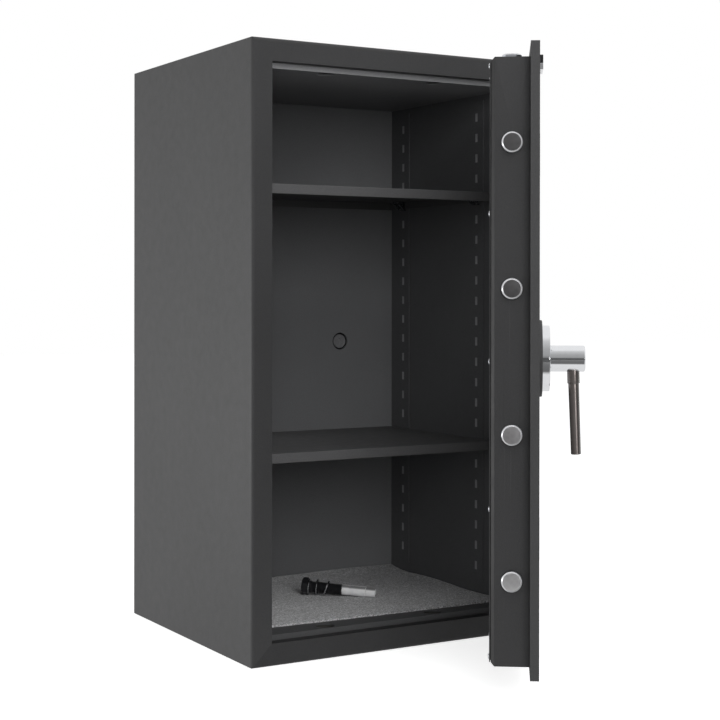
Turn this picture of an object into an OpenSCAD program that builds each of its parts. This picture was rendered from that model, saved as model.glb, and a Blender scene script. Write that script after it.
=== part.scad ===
// Tall steel safe with an inset door, two shelves, four side bolts and a turning lever handle.
// Frame: +X to the right, +Y to the back, +Z up. Origin at the middle of the underside.
// Most sizes below are taken from the left outer side (x), the front face (y) and the floor (z).

/* [Cabinet] */
// Outer width
body_w = 455; // [430:1:520]
// Outer depth without hinge and handle
body_d = 390; // [380:1:460]
// Outer height
body_h = 800; // [780:1:900]
// Width of the flat front frame face
frame_band = 29; // [27:0.5:31]
// Thickness of the outer steel sheet
shell_sheet = 3; // [2:0.5:4]
// Thickness of the welded back panel
back_sheet = 4; // [3:0.5:6]
// Radius of the bent front edges
front_edge_r = 4; // [2:0.5:6]
// Radius of the other outer edges
side_edge_r = 2; // [1:0.5:3]
// Depth of the stop flange that the door plate closes on
stop_depth = 16; // [14:0.5:18]
// Distance from an outer side to the inside of the liner
wall = 36; // [34:0.5:42]
// Thickness of the inner steel sheet
liner_sheet = 2; // [1.5:0.5:3]
// Thickness of the filled back wall
back_wall = 49; // [44:1:60]

/* [Shelf strips] */
// Width of a slotted strip
strip_w = 34; // [24:1:40]
// Thickness of a slotted strip
strip_t = 1.5; // [1:0.25:2]
// Width of a slot
slot_w = 5.5; // [4:0.25:6]
// Height of a slot
slot_h = 12; // [10:0.5:14]
// Least height of a strip's lowest slot
slot_low = 72; // [66:1:90]
// Distance from slot to slot
slot_pitch = 29.7; // [28:0.1:30]
// Distance of the top slot's middle below the cabinet's top
slot_drop = 68.5; // [60:0.5:80]
// Depth of the front strips' middle
strip_front_y = 104.5; // [95:0.5:120]
// Distance of the rear strips' middle from the inner back wall
strip_rear_in = 36.5; // [25:0.5:60]

/* [Shelves] */
// Depth at which the shelves start
shelf_front_y = 60; // [56:1:80]
// Height of the shelf's folded edge
shelf_t = 13.2; // [10:0.2:16]
// Sheet thickness of a shelf
shelf_sheet = 1.5; // [1:0.25:2]
// Gap behind a shelf
shelf_back_gap = 1; // [0.5:0.5:3]
// Slot that carries the upper shelf, counted from the top
upper_slot = 4; // [3:1:7]
// Slot that carries the lower shelf, counted from the top
lower_slot = 16; // [12:1:19]
// Thickness of a shelf clip's sheet
clip_t = 1.5; // [1:0.25:2]
// Reach and drop of a shelf clip
clip_size = 15; // [10:1:18]

/* [Anchoring] */
// Radius of the anchor bores through the back
anchor_bore_r = 7.5; // [6:0.25:9]
// Distance between the two anchor bores
anchor_spacing = 193; // [160:1:210]
// Height of the anchor bores
anchor_z = 400; // [380:1:420]
// Radius of the plugs that close the bores inside
plug_r = 13; // [12:0.5:14]
// Depth of a plug's seat
plug_seat = 6; // [5:0.5:8]

/* [Floor mat and loose anchor] */
// Thickness of the felt mat
mat_t = 2.5; // [2:0.25:4]
// Depth at which the mat starts
mat_front_y = 47; // [44:1:56]
// Height that the mat's back edge curls up
mat_curl = 6; // [3:0.5:9]
// Radius of the anchor bolt's shank
anchor_shank_r = 5; // [4.5:0.5:6]
// Length of the anchor bolt's shank
anchor_shank_l = 98; // [90:1:120]
// Width across flats of the hexagon head
anchor_head_af = 22; // [19:1:22]
// Height of the hexagon head
anchor_head_h = 9; // [7:0.5:10]
// Outer radius of the expansion sleeve
anchor_sleeve_r = 7.25; // [6.5:0.25:8]
// Length of the expansion sleeve
anchor_sleeve_l = 48.5; // [44:0.5:52]
// Radius of the thick threaded part under the head
anchor_thread_r = 8; // [7:0.25:8.5]
// Length of the cone nut
anchor_cone_l = 13.7; // [10:0.1:16]
// Outer radius of the washers
washer_r = 11; // [10:0.5:12]
// Thickness of a washer
washer_t = 2; // [1.5:0.25:3]
// Distance of the middle washer from the head
washer_mid = 12; // [6:1:18]
// Distance of the tilted washer from the head
washer_far = 26; // [22:1:38]
// Lean of the outer washer
washer_lean = 15; // [0:1:16]
// Distance of the bolt head from the left outer side
anchor_head_x = 195.5; // [180:0.5:230]
// Distance of the bolt head from the front face
anchor_head_y = 207.5; // [190:0.5:270]
// Direction in which the loose anchor lies
anchor_turn = -40; // [-75:0.5:-30]

/* [Door] */
// Thickness of the door plate
plate_t = 10.5; // [10:0.5:12.5]
// Gap beside the door plate
gap_side = 4; // [3:0.25:5]
// Gap above the door plate
gap_top = 6.5; // [5.5:0.25:7.5]
// Gap below the door plate
gap_bottom = 3.5; // [2.75:0.25:4.5]
// Angle at which the door stands open
open_angle = 54.15; // [0:0.05:100]
// Distance of the boltwork box from the plate's edges
box_inset = 14.5; // [13:0.5:18]
// Distance of the boltwork's middle below the plate's middle
works_drop = 1.75; // [0:0.25:2.5]
// Depth of the boltwork box behind the plate
box_depth = 45; // [44.5:0.5:46]
// Sheet thickness of the boltwork box
box_sheet = 2.5; // [2:0.5:3]
// Chamfer round the box's rear edges
box_chamfer = 4; // [1:0.5:4.5]
// Width of the flange that carries the rear cover
box_flange = 18; // [14:1:22]
// Thickness of the gasket under the rear cover
gasket_t = 0.5; // [0.5:0.25:1.5]
// Thickness of the rear cover
cover_t = 1.25; // [1:0.25:2]
// Distance of the rear cover's edge from the box's edge
cover_inset = 4; // [1:0.5:5]
// Distance of the cover's screws from its edge
screw_margin = 5.5; // [4.5:0.5:12]

/* [Hinges] */
// Radius of a hinge barrel
barrel_r = 5; // [4.5:0.25:5.5]
// Distance of the hinge axis from the right outer side
hinge_inset = 11.5; // [11:0.5:13]
// Distance of the hinge axis in front of the front face
hinge_front = 5.5; // [5.5:0.25:7]
// Height of the upper and lower half of a hinge
hinge_half = 30; // [24:1:40]
// Height of the hinges' middles above and below the cabinet's middle
hinge_offset = 270; // [200:5:300]
// Radius of a hinge pin
hinge_pin_r = 3; // [2.5:0.25:3.5]
// Length of the leaf on the door plate
leaf_l = 45; // [30:1:60]
// Thickness of the leaf
leaf_t = 4; // [3:0.25:4.25]

/* [Bolts] */
// Radius of the bolts
bolt_r = 12; // [10:0.25:12]
// Length of a bolt
bolt_l = 55; // [50:1:60]
// Chamfer of a bolt's end
bolt_chamfer = 1.5; // [0.5:0.25:3]
// Depth of the bolts' axes behind the front face
bolt_y = 31.5; // [31.5:0.25:32]
// Length of side or bottom bolt that stands out of the box when drawn in
bolt_proud = 5.5; // [3:0.5:6]
// Length of top bolt that stands out of the box when drawn in
top_bolt_proud = 14; // [3:0.25:14.25]
// Travel of every bolt
bolt_travel = 18; // [14:0.5:18]
// Distance between the side bolts
side_bolt_pitch = 168.6; // [150:0.2:175]
// Number of side bolts
side_bolt_count = 4; // [2:1:4]
// Distance of the first upright bolt from the plate's lock edge
up_bolt_inset = 91; // [85:1:100]
// Distance between the two upright bolts
up_bolt_pitch = 170; // [150:1:190]
// Length of a guide bush
bush_l = 8; // [6:0.5:10]
// Wall of a guide bush
bush_wall = 3; // [2:0.25:4]
// Thickness of the bars that join the bolts
bar_t = 6; // [4:0.5:8]
// Depth of the bars that join the bolts
bar_depth = 23; // [16:0.5:23]
// Thickness of the flat arms that reach to the cam
arm_t = 4; // [3:0.25:4.5]
// Width of the flat arms
arm_w = 19; // [17:0.5:19.5]

/* [Handle and cam] */
// Distance of the handle's axis from the plate's lock edge
handle_inset = 112; // [108:1:120]
// Radius of the dark base disc
base_disc_r = 46.5; // [44:0.5:50]
// Thickness of the base disc
base_disc_t = 5.5; // [3:0.25:6]
// Radius of the chrome rose
rose_r = 40; // [34:0.5:43]
// Thickness of the chrome rose
rose_t = 9.1; // [6:0.1:12]
// Radius of the hub
hub_r = 16; // [14:0.5:18]
// Length of the hub
hub_l = 42.4; // [36:0.2:50]
// Distance of the lever's axis from the rose
lever_out = 28; // [22:0.5:32]
// Distance of the lever's foot from the handle's axis
lever_l = 116; // [90:1:130]
// Radius of the lever at its foot
lever_foot_r = 6.1; // [5:0.1:6.3]
// Radius of the lever at the hub
lever_top_r = 6.6; // [6.4:0.1:7]
// Angle at which the lever leans outwards
lever_lean = 2; // [0:0.5:4]
// Length of the collar at the lever's root
collar_l = 18; // [10:1:24]
// Wall of the collar
collar_wall = 0.9; // [0.6:0.1:1.5]
// Radius of the spindle
spindle_r = 6; // [5:0.25:6.5]
// Wall of the spindle's bush
spindle_bush_wall = 3; // [2:0.25:4]
// Thickness of the cam disc
cam_t = 4.5; // [3.5:0.25:4.75]
// Radius of the cam's follower pins
follower_r = 4; // [3:0.25:4]
// Distance of a follower pin from the handle's axis when drawn in
cam_r0 = 20; // [19.5:0.5:22]
// Angle that the handle turns
handle_turn = 90; // [80:1:90]

/* [Lock] */
// Distance of the lock case from the handle's axis, sideways
lock_dx = 15; // [13:0.5:17]
// Height of the lock bolt above the handle's axis
lock_dz = 123; // [118:1:140]
// Width of the lock case
lock_w = 72; // [62:1:90]
// Height of the lock case
lock_h = 70; // [64:1:80]
// Depth of the lock case
lock_d = 22; // [18:0.5:24]
// Wall of the lock case
lock_wall = 3; // [2:0.5:3.5]
// Travel of the lock bolt
lock_travel = 8; // [6:0.5:8.5]
// Height of the lock bolt
lock_bolt_h = 10; // [8:0.5:11]
// Thickness of the hard plate in front of the lock
hard_t = 3.5; // [2:0.25:4]
// Radius of the key core
core_r = 5.9; // [5:0.1:6.5]
// Radius of the key escutcheon
escutcheon_r = 14; // [12:0.5:16]
// Thickness of the key escutcheon
escutcheon_t = 3; // [2:0.25:3]

/* [Badge] */
// Width of the blank badge
badge_w = 40; // [30:1:60]
// Height of the blank badge
badge_h = 17; // [14:0.5:24]
// Thickness of the blank badge
badge_t = 4; // [3:0.25:6]
// Height of the badge's dark upper part
badge_dark_h = 9.5; // [5:0.5:12]
// Distance of the badge from the plate's lock edge
badge_inset = 14; // [8:1:40]
// Distance of the badge from the plate's top edge
badge_drop = 14.5; // [8:0.5:30]

/* [Hidden] */
$fn = 64;

// Clearances
eps = 0.01;
run_fit = 0.08;
seat_fit = 0.02;
face_gap = 0.3;
slide_gap = 0.3;
hole_gap = 0.5;
pocket_gap = 2;

// Colours
paint = [0.24, 0.24, 0.25];
paint_dark = [0.16, 0.16, 0.17];
zinc = [0.66, 0.67, 0.69];
chromed = [0.82, 0.83, 0.85];
black_steel = [0.08, 0.08, 0.09];

// Cabinet, derived
return_in = frame_band - shell_sheet;
liner_out = wall - liner_sheet;
liner_front = stop_depth + liner_sheet;
inner_depth = body_d - back_wall;
strip_rear_y = inner_depth - strip_rear_in;
slot_top_z = body_h - slot_drop;
slot_count = floor((slot_top_z - slot_low) / slot_pitch) + 1;
inner_w = body_w - 2 * wall;
back_front = body_d - back_sheet;

// Door, derived, as it stands when closed
plate_x0 = frame_band + gap_side;
plate_x1 = body_w - frame_band - gap_side;
plate_z0 = frame_band + gap_bottom;
plate_z1 = body_h - frame_band - gap_top;
plate_w = plate_x1 - plate_x0;
plate_h = plate_z1 - plate_z0;
box_x0 = plate_x0 + box_inset;
box_x1 = plate_x1 - box_inset;
box_z0 = plate_z0 + box_inset - works_drop;
box_z1 = plate_z1 - box_inset - works_drop;
box_y1 = plate_t + box_depth;
board_y0 = bolt_y + bolt_r + bush_wall + hole_gap;
cover_y0 = box_y1 + gasket_t;
cover_y1 = cover_y0 + cover_t;
hinge_x = body_w - hinge_inset;
hinge_y = -hinge_front;
hinge_zs = [body_h / 2 - hinge_offset, body_h / 2 + hinge_offset];

// Boltwork, derived
works_mid_z = (plate_z0 + plate_z1) / 2 - works_drop;
handle_x = plate_x0 + handle_inset;
handle_z = works_mid_z;
up_bolt_xs = [plate_x0 + up_bolt_inset, plate_x0 + up_bolt_inset + up_bolt_pitch];
side_bolt_zs = [for (i = [0 : side_bolt_count - 1])
  works_mid_z + (i - (side_bolt_count - 1) / 2) * side_bolt_pitch];
side_tip_x = box_x0 - bolt_proud;
top_tip_z = box_z1 + top_bolt_proud;
bottom_tip_z = box_z0 - bolt_proud;
bar_y0 = bolt_y - bar_depth / 2;
cam_y0 = bar_y0 - 1 - cam_t;
cam_y1 = cam_y0 + cam_t;
cam_r = cam_r0 + bolt_travel + follower_r + 6;
cam_rise = bolt_travel / handle_turn;

// Lock, derived
lock_x0 = handle_x + lock_dx;
lock_z = handle_z + lock_dz;
lock_y0 = plate_t + hard_t;
lock_z0 = lock_z - lock_bolt_h / 2 - 24;
lock_bolt_y0 = lock_y0 + lock_wall + face_gap;
lock_bolt_y1 = bar_y0 + arm_t + 2;
lock_nose_x = handle_x + arm_w / 2 + 1.5;
core_x = lock_x0 + lock_w / 2;
driver_r = 9.6;
core_z = lock_z + lock_bolt_h / 2 + driver_r + slide_gap;

// Loose anchor, derived
mat_top = wall + mat_t;
washer_end = washer_far + washer_t;
sleeve_start = anchor_shank_l - anchor_sleeve_l;
sleeve_end = anchor_shank_l - anchor_cone_l - face_gap;
anchor_slope = (washer_r - anchor_sleeve_r) / (sleeve_end - washer_end);
anchor_axis_z = mat_top + face_gap + washer_r + anchor_slope * washer_end;
anchor_fall = asin(anchor_slope);

// Puts the corner of the cabinet's front left underside at [0, 0, 0]
module in_cabinet() {
  translate([-body_w / 2, -body_d / 2, 0]) children();
}

// Turns a door piece, drawn as it stands when closed, to the open door
module on_door() {
  in_cabinet()
    translate([hinge_x, hinge_y, 0])
      rotate([0, 0, open_angle])
        translate([-hinge_x, -hinge_y, 0])
          children();
}

// A box from one corner to the opposite one
module block(a, b) {
  translate(a) cube([b[0] - a[0], b[1] - a[1], b[2] - a[2]]);
}

// A cylinder along X, Y or Z from one place to another
module rod_x(x0, x1, y, z, r) {
  translate([x0, y, z]) rotate([0, 90, 0]) cylinder(h = x1 - x0, r = r);
}
module rod_y(x, y0, y1, z, r) {
  translate([x, y0, z]) rotate([-90, 0, 0]) cylinder(h = y1 - y0, r = r);
}
module rod_z(x, y, z0, z1, r) {
  translate([x, y, z0]) cylinder(h = z1 - z0, r = r);
}

// What is cut off a square corner to round it
module corner_cut(r) {
  difference() {
    translate([-1, -1]) square(r + 1);
    translate([r, r]) circle(r = r);
  }
}

// A rectangle with two radii: ra at the corners of y = 0, rb at the far corners
module round_rect(w, h, ra, rb) {
  difference() {
    square([w, h]);
    corner_cut(ra);
    translate([w, 0]) mirror([1, 0]) corner_cut(ra);
    translate([0, h]) mirror([0, 1]) corner_cut(rb);
    translate([w, h]) rotate(180) corner_cut(rb);
  }
}

// Outer form of the cabinet with its rounded edges
module outer_form() {
  intersection() {
    linear_extrude(body_h) round_rect(body_w, body_d, front_edge_r, side_edge_r);
    translate([0, body_d, 0]) rotate([90, 0, 0])
      linear_extrude(body_d) round_rect(body_w, body_h, side_edge_r, side_edge_r);
    rotate([0, 0, 90]) rotate([90, 0, 0])
      linear_extrude(body_w) rotate(-90) mirror([1, 0])
        round_rect(body_h, body_d, front_edge_r, side_edge_r);
  }
}

// One side's share of the cabinet, with mitred ends: 0 left, 1 right, 2 top, 3 bottom
module mitre(side, reach) {
  far_x = body_w - reach;
  far_z = body_h - reach;
  shapes = [
    [[0, 0], [reach, reach], [reach, far_z], [0, body_h]],
    [[body_w, 0], [body_w, body_h], [far_x, far_z], [far_x, reach]],
    [[0, body_h], [reach, far_z], [far_x, far_z], [body_w, body_h]],
    [[0, 0], [body_w, 0], [far_x, reach], [reach, reach]]
  ];
  translate([0, body_d, 0]) rotate([90, 0, 0]) linear_extrude(body_d) polygon(shapes[side]);
}

// Folded outer sheet: side, front face and the return beside the door plate
module shell_form() {
  difference() {
    outer_form();
    block([shell_sheet, shell_sheet, shell_sheet],
      [body_w - shell_sheet, body_d + 1, body_h - shell_sheet]);
    block([frame_band, -1, frame_band], [body_w - frame_band, body_d, body_h - frame_band]);
  }
  difference() {
    block([return_in, shell_sheet - 1, return_in],
      [body_w - return_in, stop_depth, body_h - return_in]);
    block([frame_band, -1, frame_band],
      [body_w - frame_band, stop_depth + 1, body_h - frame_band]);
  }
}

module shell_side(side) {
  color(paint) in_cabinet() intersection() {
    shell_form();
    mitre(side, frame_band + 1);
  }
}

module shell_left() { shell_side(0); }
module shell_right() { shell_side(1); }
module shell_top() { shell_side(2); }
module shell_bottom() { shell_side(3); }

// The two anchor bores' places across the back
anchor_xs = [body_w / 2 - anchor_spacing / 2, body_w / 2 + anchor_spacing / 2];

module back_panel() {
  color(paint) in_cabinet() difference() {
    block([shell_sheet, back_front, shell_sheet],
      [body_w - shell_sheet, body_d, body_h - shell_sheet]);
    for (x = anchor_xs) rod_y(x, back_front - 1, body_d + 1, anchor_z, anchor_bore_r);
  }
}

// Pockets behind the liner that the bolts run into
module bolt_pockets(r, deep) {
  for (z = side_bolt_zs) rod_x(deep, wall + 1, bolt_y, z, r);
  for (x = up_bolt_xs) {
    rod_z(x, bolt_y, body_h - wall - 1, body_h - deep, r);
    rod_z(x, bolt_y, deep, wall + 1, r);
  }
}

module wall_fill() {
  color([0.72, 0.71, 0.68]) in_cabinet() difference() {
    block([shell_sheet, shell_sheet, shell_sheet],
      [body_w - shell_sheet, back_front, body_h - shell_sheet]);
    block([return_in, 0, return_in], [body_w - return_in, liner_front, body_h - return_in]);
    block([liner_out, 0, liner_out],
      [body_w - liner_out, inner_depth + liner_sheet, body_h - liner_out]);
    bolt_pockets(bolt_r + pocket_gap, shell_sheet + 5);
    for (x = anchor_xs)
      rod_y(x, inner_depth, body_d, anchor_z, plug_r + 3);
  }
}

// Folded inner sheet: wall and the stop flange at its front
module liner_form() {
  difference() {
    block([liner_out, stop_depth, liner_out],
      [body_w - liner_out, inner_depth, body_h - liner_out]);
    block([wall, 0, wall], [body_w - wall, inner_depth + 1, body_h - wall]);
  }
  difference() {
    block([return_in, stop_depth, return_in],
      [body_w - return_in, liner_front, body_h - return_in]);
    block([wall, 0, wall], [body_w - wall, liner_front + 1, body_h - wall]);
  }
}

module liner_side(side) {
  color(paint_dark) in_cabinet() difference() {
    intersection() {
      liner_form();
      mitre(side, wall + 1);
    }
    bolt_pockets(bolt_r + hole_gap * 2, return_in);
  }
}

module liner_left() { liner_side(0); }
module liner_right() { liner_side(1); }
module liner_top() { liner_side(2); }
module liner_floor() { liner_side(3); }

module liner_back() {
  color(paint_dark) in_cabinet() difference() {
    block([liner_out, inner_depth, liner_out],
      [body_w - liner_out, inner_depth + liner_sheet, body_h - liner_out]);
    for (x = anchor_xs)
      rod_y(x, inner_depth - 1, inner_depth + liner_sheet + 1, anchor_z, plug_r + 3);
  }
}

// Height of a slot's middle
function slot_z(i) = slot_top_z - i * slot_pitch;

// A slotted strip on one wall: x0 is its lower x face, y its middle
module strip(x0, y) {
  strip_end = slot_h + 12;
  color(paint_dark) in_cabinet() difference() {
    block([x0, y - strip_w / 2, slot_z(slot_count - 1) - strip_end],
      [x0 + strip_t, y + strip_w / 2, slot_z(0) + strip_end]);
    for (i = [0 : slot_count - 1])
      block([x0 - 1, y - slot_w / 2, slot_z(i) - slot_h / 2],
        [x0 + strip_t + 1, y + slot_w / 2, slot_z(i) + slot_h / 2]);
  }
}

right_strip_x = body_w - wall - strip_t;
module strip_left_front() { strip(wall, strip_front_y); }
module strip_left_rear() { strip(wall, strip_rear_y); }
module strip_right_front() { strip(right_strip_x, strip_front_y); }
module strip_right_rear() { strip(right_strip_x, strip_rear_y); }

// Underside of the shelf that a slot carries
function shelf_z(i) = slot_z(i) - slot_h / 2;

// Width of a shelf clip, and the height of the shelves' top sheet above a slot's lower end
clip_w = 2 * slot_w + 5;
ledge_h = shelf_t - shelf_sheet;

// A tray folded down at all four edges, with a notch in its side folds at each clip
module shelf(i) {
  side = wall + strip_t + clip_t + face_gap;
  z0 = shelf_z(i);
  color(paint) in_cabinet() difference() {
    block([side, shelf_front_y, z0],
      [body_w - side, inner_depth - shelf_back_gap, z0 + shelf_t]);
    block([side + shelf_sheet, shelf_front_y + shelf_sheet, z0 - 1],
      [body_w - side - shelf_sheet, inner_depth - shelf_back_gap - shelf_sheet,
        z0 + ledge_h]);
    for (y = [strip_front_y, strip_rear_y])
      block([side - 1, y - clip_w / 2 - 1, z0 - 1],
        [body_w - side + 1, y + clip_w / 2 + 1, z0 + ledge_h]);
  }
}

module shelf_upper() { shelf(upper_slot); }
module shelf_lower() { shelf(lower_slot); }

// A sheet clip on the left wall: a tab in the slot, a ledge and two cheeks
module clip(y, z0) {
  x0 = wall + strip_t;
  y0 = y - clip_w / 2;
  top = z0 + ledge_h;
  block([wall + 0.1, y - slot_w / 2 + 0.3, z0 + 0.3], [x0 + clip_t, y + slot_w / 2 - 0.3, z0 + 5]);
  block([x0, y0, top - clip_size], [x0 + clip_t, y0 + clip_w, top]);
  block([x0, y0, top - clip_t], [x0 + clip_size, y0 + clip_w, top]);
  for (s = [0, clip_w - clip_t])
    translate([x0, y0 + s + clip_t, top]) rotate([90, 0, 0]) linear_extrude(clip_t)
      polygon([[0, 0], [clip_size, 0], [clip_size, -3], [3, -clip_size], [0, -clip_size]]);
}

module shelf_clips(i) {
  color(zinc) in_cabinet() for (y = [strip_front_y, strip_rear_y]) {
    clip(y, shelf_z(i));
    translate([body_w, 0, 0]) mirror([1, 0, 0]) clip(y, shelf_z(i));
  }
}

module shelf_clips_upper() { shelf_clips(upper_slot); }
module shelf_clips_lower() { shelf_clips(lower_slot); }

// Steel tubes that line the anchor bores through the filled back
module anchor_tubes() {
  color(zinc) in_cabinet() for (x = anchor_xs) difference() {
    rod_y(x, inner_depth, back_front, anchor_z, plug_r + 3);
    rod_y(x, inner_depth - 1, inner_depth + plug_seat, anchor_z, plug_r + 0.2);
    rod_y(x, inner_depth, body_d, anchor_z, anchor_bore_r);
  }
}

// Plastic plugs, each dished in its middle
module anchor_plugs() {
  color(black_steel) in_cabinet() for (x = anchor_xs) difference() {
    rod_y(x, inner_depth + 2, inner_depth + plug_seat, anchor_z, plug_r);
    rod_y(x, inner_depth + 1, inner_depth + 3.5, anchor_z, plug_r * 0.55);
  }
}

// Felt mat: flat, with its back edge curling up against the back wall
module floor_mat() {
  curl_l = 60;
  steps = 8;
  y0 = mat_front_y;
  y1 = inner_depth - 1;
  rise = [for (k = [0 : steps])
    [y1 - curl_l + curl_l * k / steps, mat_curl * pow(k / steps, 2)]];
  top = [for (k = [steps : -1 : 0]) [rise[k][0], wall + rise[k][1] + mat_t]];
  under = [for (k = [0 : steps]) [rise[k][0], wall + rise[k][1]]];
  color([0.4, 0.4, 0.41]) in_cabinet()
    translate([wall + 1, 0, 0]) rotate([90, 0, 90]) linear_extrude(inner_w - 2)
      polygon(concat([[y0, wall]], under, top, [[y0, wall + mat_t]]));
}

// The loose anchor's axis: x runs from under the head to the far end
module in_anchor() {
  in_cabinet()
    translate([anchor_head_x, anchor_head_y, anchor_axis_z])
      rotate([0, 0, anchor_turn]) rotate([0, anchor_fall, 0])
        children();
}

module anchor_bolt() {
  color(black_steel) in_anchor() {
    translate([-anchor_head_h, 0, 0]) rotate([0, 90, 0])
      cylinder(h = anchor_head_h, d = anchor_head_af / cos(30), $fn = 6);
    rod_x(-eps, sleeve_start - face_gap, 0, 0, anchor_thread_r);
    rod_x(-eps, anchor_shank_l, 0, 0, anchor_shank_r);
  }
}

module washer(x, tilt) {
  translate([x, 0, 0]) rotate([0, tilt + 90, 0]) difference() {
    cylinder(h = washer_t, r = washer_r);
    translate([0, 0, -1]) cylinder(h = washer_t + 2, r = anchor_thread_r + 0.8);
  }
}

module anchor_washers() {
  color(zinc) in_anchor() {
    washer(face_gap, 0);
    washer(washer_mid, 0);
    washer(washer_far, washer_lean);
  }
}

// Slit expansion sleeve over the far half of the bolt
module anchor_sleeve() {
  color(zinc) in_anchor() difference() {
    rod_x(sleeve_start, sleeve_end, 0, 0, anchor_sleeve_r);
    rod_x(sleeve_start - 1, anchor_shank_l, 0, 0, anchor_shank_r + 0.3);
    block([sleeve_start + 14, -0.9, 0], [anchor_shank_l, 0.9, anchor_sleeve_r + 1]);
  }
}

// Cone nut at the end of the sleeve
module anchor_cone() {
  color(zinc) in_anchor() difference() {
    translate([anchor_shank_l - anchor_cone_l, 0, 0]) rotate([0, 90, 0])
      cylinder(h = anchor_cone_l, r1 = anchor_sleeve_r - 0.3, r2 = anchor_sleeve_r - 1.2);
    rod_x(sleeve_start, anchor_shank_l + 1, 0, 0, anchor_shank_r + seat_fit);
  }
}

// Lower hinge halves on the frame
module frame_knuckles() {
  color(paint) in_cabinet() for (z = hinge_zs) difference() {
    union() {
      rod_z(hinge_x, hinge_y, z - hinge_half, z - face_gap / 2, barrel_r);
      block([hinge_x - barrel_r, hinge_y, z - hinge_half],
        [hinge_x + barrel_r - 1.5, 0, z - face_gap / 2]);
    }
    rod_z(hinge_x, hinge_y, z - hinge_half * 0.7, z + 1, hinge_pin_r + seat_fit);
  }
}

module hinge_pins() {
  color(chromed) in_cabinet() for (z = hinge_zs)
    rod_z(hinge_x, hinge_y, z - hinge_half * 0.7, z + hinge_half * 0.7, hinge_pin_r);
}

// Upper hinge halves with their leaves on the door plate
module door_knuckles() {
  leaf_x1 = hinge_x - barrel_r * 2;
  clear_y = hinge_y + barrel_r;
  color(paint) on_door() for (z = hinge_zs) difference() {
    union() {
      rod_z(hinge_x, hinge_y, z + face_gap / 2, z + hinge_half, barrel_r);
      block([leaf_x1 - 1, clear_y - leaf_t, z + face_gap / 2],
        [hinge_x, clear_y, z + hinge_half]);
      block([plate_x1 - leaf_l, clear_y - leaf_t, z - hinge_half],
        [leaf_x1, clear_y, z + hinge_half]);
      block([plate_x1 - leaf_l, clear_y - eps, z - hinge_half],
        [plate_x1 - 4, 0, z + hinge_half]);
    }
    rod_z(hinge_x, hinge_y, z - 1, z + hinge_half * 0.7 + 1, hinge_pin_r + run_fit);
  }
}

module door_plate() {
  color(paint) on_door() difference() {
    translate([plate_x0, plate_t, plate_z0]) rotate([90, 0, 0])
      linear_extrude(plate_t) round_rect(plate_w, plate_h, 1.5, 1.5);
    rod_y(handle_x, -1, plate_t + 1, handle_z, spindle_r + spindle_bush_wall);
    rod_y(core_x, -1, plate_t + 1, core_z, core_r + hole_gap);
  }
}

// Outer form of the boltwork box, chamfered round its back
module box_form() {
  c = box_chamfer;
  w = box_x1 - box_x0;
  h = box_z1 - box_z0;
  intersection() {
    translate([box_x0, plate_t, box_z0]) linear_extrude(h)
      polygon([[0, 0], [w, 0], [w, box_depth - c], [w - c, box_depth], [c, box_depth],
        [0, box_depth - c]]);
    translate([box_x0, plate_t, box_z0]) rotate([90, 0, 90]) linear_extrude(w)
      polygon([[0, 0], [box_depth - c, 0], [box_depth, c], [box_depth, h - c],
        [box_depth - c, h], [0, h]]);
  }
}

// Places of the rear cover's screws: [x, z]
screw_in = cover_inset + screw_margin;
screw_xs = [for (k = [0 : 3]) box_x0 + screw_in + k * (box_x1 - box_x0 - 2 * screw_in) / 3];
screw_zs = [for (k = [0 : 4]) box_z0 + screw_in + k * (box_z1 - box_z0 - 2 * screw_in) / 4];
screw_spots = concat(
  [for (x = screw_xs) for (z = [screw_zs[0], screw_zs[4]]) [x, z]],
  [for (x = [screw_xs[0], screw_xs[3]]) for (k = [1 : 3]) [x, screw_zs[k]]]
);
screw_r = 2.2;
screw_head_r = 3.5;
screw_head_h = 1.6;

module screw_holes(y0, y1, r) {
  for (p = screw_spots) rod_y(p[0], y0, y1, p[1], r);
}

module door_box() {
  s = box_sheet;
  f = box_flange;
  color(paint) on_door() difference() {
    box_form();
    block([box_x0 + s, plate_t - 1, box_z0 + s], [box_x1 - s, box_y1 - s, box_z1 - s]);
    block([box_x0 + f, plate_t, box_z0 + f], [box_x1 - f, box_y1 + 1, box_z1 - f]);
    for (z = side_bolt_zs) rod_x(box_x0 - 1, box_x0 + s + 1, bolt_y, z, bolt_r + hole_gap);
    for (x = up_bolt_xs) {
      rod_z(x, bolt_y, box_z1 - s - 1, box_z1 + 1, bolt_r + hole_gap);
      rod_z(x, bolt_y, box_z0 - 1, box_z0 + s + 1, bolt_r + hole_gap);
    }
    screw_holes(box_y1 - s - 1, box_y1 + 1, screw_r + seat_fit);
  }
}

// Board that fills the back of the box inside its flange
module insulation_board() {
  s = box_sheet + face_gap;
  y1 = box_y1 - box_sheet;
  color([0.85, 0.84, 0.8]) on_door() difference() {
    block([box_x0 + s, board_y0, box_z0 + s], [box_x1 - s, y1, box_z1 - s]);
    screw_holes(board_y0 - 1, y1 + 1, screw_r + 1);
  }
}

module cover_gasket() {
  i = cover_inset + 2;
  f = box_flange - 1;
  color(black_steel) on_door() difference() {
    block([box_x0 + i, box_y1, box_z0 + i], [box_x1 - i, cover_y0, box_z1 - i]);
    block([box_x0 + f, box_y1 - 1, box_z0 + f], [box_x1 - f, cover_y0 + 1, box_z1 - f]);
    screw_holes(box_y1 - 1, cover_y0 + 1, screw_r + 0.2);
  }
}

module rear_cover() {
  i = cover_inset;
  color(paint) on_door() difference() {
    block([box_x0 + i, cover_y0, box_z0 + i], [box_x1 - i, cover_y1, box_z1 - i]);
    screw_holes(cover_y0 - 1, cover_y1 + 1, screw_r + 0.2);
  }
}

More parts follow.
